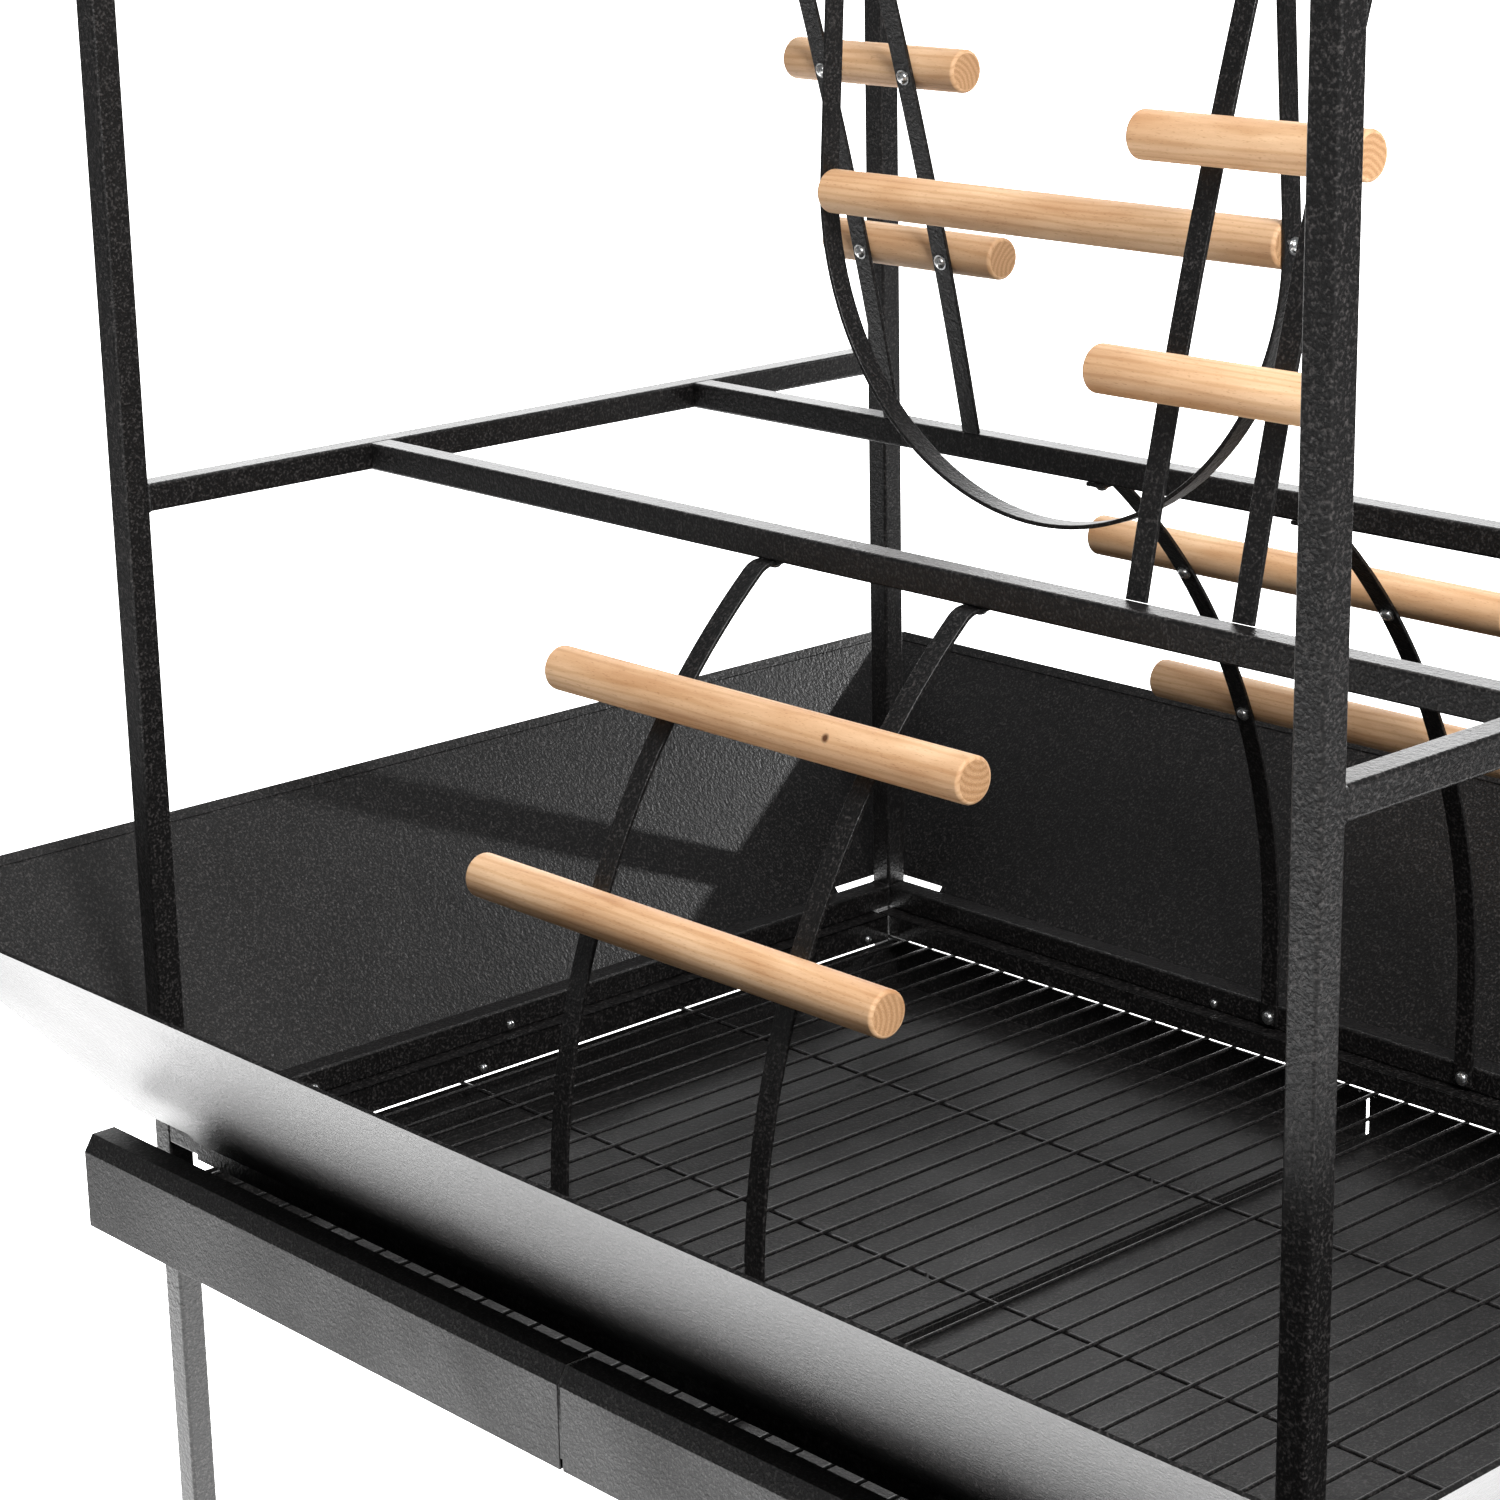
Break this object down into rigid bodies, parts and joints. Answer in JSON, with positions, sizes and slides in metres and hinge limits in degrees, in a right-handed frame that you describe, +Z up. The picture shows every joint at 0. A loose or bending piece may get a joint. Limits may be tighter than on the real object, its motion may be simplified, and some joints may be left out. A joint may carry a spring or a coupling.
{
  "type": "parrot play stand",
  "caption": "Free-standing bird play stand: steel tube frame on castors with dowel ladders, a hoop swing, flared seed guards, and wire floors over pull-out trays.",
  "frame": {"origin": "on the floor under the middle of the stand, in the plane the castors stand on", "axes": "+Z up, +Y to the back, -Y to the front where the trays pull out, +X to the right seen from the front"},
  "size_m": [1.3524, 1.0444, 1.5023],
  "materials": {
    "black_powder_coat": "fine textured satin powder coat",
    "beech_dowel": "plain sanded beech, unvarnished",
    "zinc_plate": "bright zinc plate",
    "black_plastic": "moulded black nylon",
    "grey_castor_tread": "grey soft tread"
  },
  "bodies": {
    "root": {"post_frame_left": "black_powder_coat", "leg_frame_left": "black_powder_coat", "post_frame_right": "black_powder_coat", "leg_frame_right": "black_powder_coat", "post_cap_front_left": "black_plastic", "post_cap_front_right": "black_plastic", "post_cap_back_left": "black_plastic", "post_cap_back_right": "black_plastic", "middle_long_rail_front": "black_powder_coat", "stand_beam_front": "black_powder_coat", "base_beam_front": "black_powder_coat", "middle_long_rail_back": "black_powder_coat", "stand_beam_back": "black_powder_coat", "base_beam_back": "black_powder_coat", "tray_centre_runner": "black_powder_coat", "top_centre_rail": "black_powder_coat", "guard_front": "black_powder_coat", "guard_right": "black_powder_coat", "guard_back": "black_powder_coat", "guard_left": "black_powder_coat", "lower_ladder_front_strip_1": "black_powder_coat", "lower_ladder_front_strip_2": "black_powder_coat", "upper_ladder_front_strip_1": "black_powder_coat", "upper_ladder_front_strip_2": "black_powder_coat", "lower_ladder_front_rung_1": "beech_dowel", "lower_ladder_front_rung_2": "beech_dowel", "upper_ladder_front_rung_1": "beech_dowel", "upper_ladder_front_rung_2": "beech_dowel", "upper_ladder_front_rung_3": "beech_dowel", "lower_ladder_back_strip_1": "black_powder_coat", "lower_ladder_back_strip_2": "black_powder_coat", "upper_ladder_back_strip_1": "black_powder_coat", "upper_ladder_back_strip_2": "black_powder_coat", "lower_ladder_back_rung_1": "beech_dowel", "lower_ladder_back_rung_2": "beech_dowel", "upper_ladder_back_rung_1": "beech_dowel", "upper_ladder_back_rung_2": "beech_dowel", "upper_ladder_back_rung_3": "beech_dowel", "swing_pivot_left": "zinc_plate", "swing_pivot_right": "zinc_plate", "castor_socket_front_left": "black_plastic", "castor_socket_front_right": "black_plastic", "castor_socket_back_left": "black_plastic", "castor_socket_back_right": "black_plastic"},
    "tray_left": {"tray_left": "black_powder_coat", "grid_left": "black_powder_coat"},
    "tray_right": {"tray_right": "black_powder_coat", "grid_right": "black_powder_coat"},
    "swing": {"swing_strap": "black_powder_coat", "swing_perch": "beech_dowel", "swing_perch_screw_left": "zinc_plate", "swing_perch_screw_right": "zinc_plate"},
    "fork_front_left": {"castor_fork_front_left": "zinc_plate"},
    "wheel_front_left": {"castor_wheel_front_left": "grey_castor_tread"},
    "fork_front_right": {"castor_fork_front_right": "zinc_plate"},
    "wheel_front_right": {"castor_wheel_front_right": "grey_castor_tread"},
    "fork_back_left": {"castor_fork_back_left": "zinc_plate"},
    "wheel_back_left": {"castor_wheel_back_left": "grey_castor_tread"},
    "fork_back_right": {"castor_fork_back_right": "zinc_plate"},
    "wheel_back_right": {"castor_wheel_back_right": "grey_castor_tread"}
  },
  "joints": [
    {"name": "tray_left_slide", "type": "slide", "parent": "root", "child": "tray_left", "axis": [0, -1, 0], "range_m": [0, 0.55]},
    {"name": "tray_right_slide", "type": "slide", "parent": "root", "child": "tray_right", "axis": [0, -1, 0], "range_m": [0, 0.55]},
    {"name": "swing_pivot", "type": "hinge", "parent": "root", "child": "swing", "pos_m": [0, 0, 1.462], "axis": [1, 0, 0], "range_deg": [-18, 18]},
    {"name": "castor_front_left_swivel", "type": "hinge", "parent": "root", "child": "fork_front_left", "pos_m": [-0.524, -0.37, 0.075], "axis": [0, 0, 1], "continuous": true},
    {"name": "castor_front_left_roll", "type": "hinge", "parent": "fork_front_left", "child": "wheel_front_left", "pos_m": [-0.524, -0.348, 0.03], "axis": [1, 0, 0], "continuous": true},
    {"name": "castor_front_right_swivel", "type": "hinge", "parent": "root", "child": "fork_front_right", "pos_m": [0.524, -0.37, 0.075], "axis": [0, 0, 1], "continuous": true},
    {"name": "castor_front_right_roll", "type": "hinge", "parent": "fork_front_right", "child": "wheel_front_right", "pos_m": [0.524, -0.348, 0.03], "axis": [1, 0, 0], "continuous": true},
    {"name": "castor_back_left_swivel", "type": "hinge", "parent": "root", "child": "fork_back_left", "pos_m": [-0.524, 0.37, 0.075], "axis": [0, 0, 1], "continuous": true},
    {"name": "castor_back_left_roll", "type": "hinge", "parent": "fork_back_left", "child": "wheel_back_left", "pos_m": [-0.524, 0.392, 0.03], "axis": [1, 0, 0], "continuous": true},
    {"name": "castor_back_right_swivel", "type": "hinge", "parent": "root", "child": "fork_back_right", "pos_m": [0.524, 0.37, 0.075], "axis": [0, 0, 1], "continuous": true},
    {"name": "castor_back_right_roll", "type": "hinge", "parent": "fork_back_right", "child": "wheel_back_right", "pos_m": [0.524, 0.392, 0.03], "axis": [1, 0, 0], "continuous": true}
  ]
}
